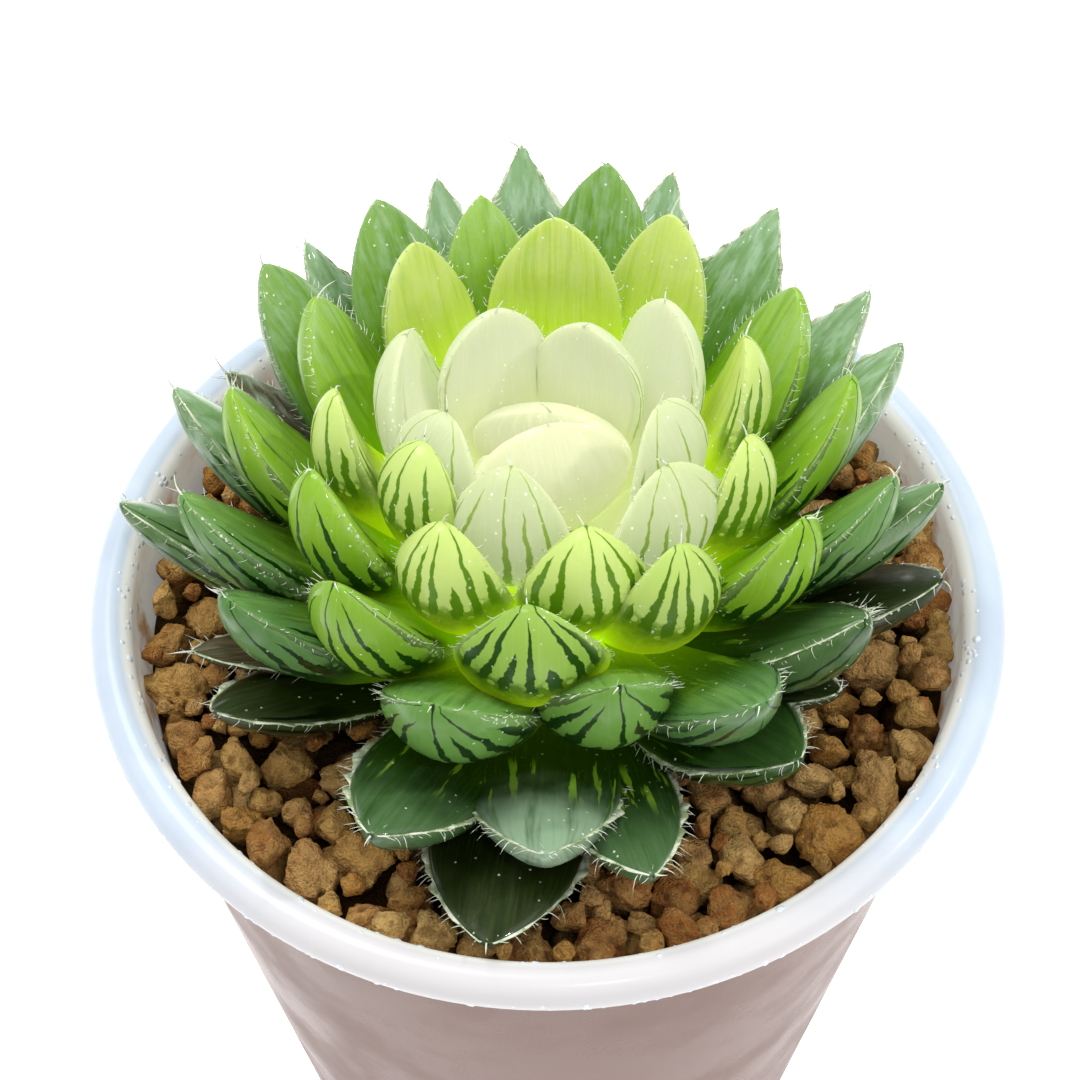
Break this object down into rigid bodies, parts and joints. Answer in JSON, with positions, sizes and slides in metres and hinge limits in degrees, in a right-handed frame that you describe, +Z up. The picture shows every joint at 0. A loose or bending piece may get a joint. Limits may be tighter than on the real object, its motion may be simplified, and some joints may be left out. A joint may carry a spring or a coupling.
{
  "type": "potted haworthia",
  "caption": "Haworthia rosette of thick, windowed leaves with toothed edges, growing in clay granules in a round, tapered plastic pot with a rolled rim.",
  "frame": {"origin": "centre of the pot's underside, on the surface that it stands on", "axes": "+Z up along the pot's axis; -Y towards the side that the picture shows"},
  "size_m": [0.08, 0.08, 0.1209],
  "materials": {
    "pot": "satin",
    "soil": "matte",
    "stem": "matte",
    "bud": "satin",
    "cream_leaf": "satin",
    "lime_leaf": "satin",
    "green_leaf": "satin",
    "outer_leaf": "satin",
    "low_leaf": "satin"
  },
  "bodies": {
    "root": {"bud": "bud", "cream_leaf_1": "cream_leaf", "cream_leaf_2": "cream_leaf", "cream_leaf_3": "cream_leaf", "cream_leaf_4": "cream_leaf", "cream_leaf_5": "cream_leaf", "cream_leaf_6": "cream_leaf", "cream_leaf_7": "cream_leaf", "cream_leaf_8": "cream_leaf", "lime_leaf_1": "lime_leaf", "lime_leaf_2": "lime_leaf", "lime_leaf_3": "lime_leaf", "lime_leaf_4": "lime_leaf", "lime_leaf_5": "lime_leaf", "lime_leaf_6": "lime_leaf", "lime_leaf_7": "lime_leaf", "lime_leaf_8": "lime_leaf", "lime_leaf_9": "lime_leaf", "lime_leaf_10": "lime_leaf", "lime_leaf_11": "lime_leaf", "green_leaf_1": "green_leaf", "green_leaf_2": "green_leaf", "green_leaf_3": "green_leaf", "green_leaf_4": "green_leaf", "green_leaf_5": "green_leaf", "green_leaf_6": "green_leaf", "green_leaf_7": "green_leaf", "green_leaf_8": "green_leaf", "green_leaf_9": "green_leaf", "green_leaf_10": "green_leaf", "green_leaf_11": "green_leaf", "green_leaf_12": "green_leaf", "green_leaf_13": "green_leaf", "green_leaf_14": "green_leaf", "green_leaf_15": "green_leaf", "green_leaf_16": "green_leaf", "green_leaf_17": "green_leaf", "outer_leaf_1": "outer_leaf", "outer_leaf_2": "outer_leaf", "outer_leaf_3": "outer_leaf", "outer_leaf_4": "outer_leaf", "outer_leaf_5": "outer_leaf", "outer_leaf_6": "outer_leaf", "outer_leaf_7": "outer_leaf", "outer_leaf_8": "outer_leaf", "outer_leaf_9": "outer_leaf", "outer_leaf_10": "outer_leaf", "outer_leaf_11": "outer_leaf", "outer_leaf_12": "outer_leaf", "outer_leaf_13": "outer_leaf", "outer_leaf_14": "outer_leaf", "outer_leaf_15": "outer_leaf", "low_leaf_1": "low_leaf", "low_leaf_2": "low_leaf", "low_leaf_3": "low_leaf", "low_leaf_4": "low_leaf", "stem": "stem", "pot": "pot", "soil": "soil"}
  },
  "joints": []
}
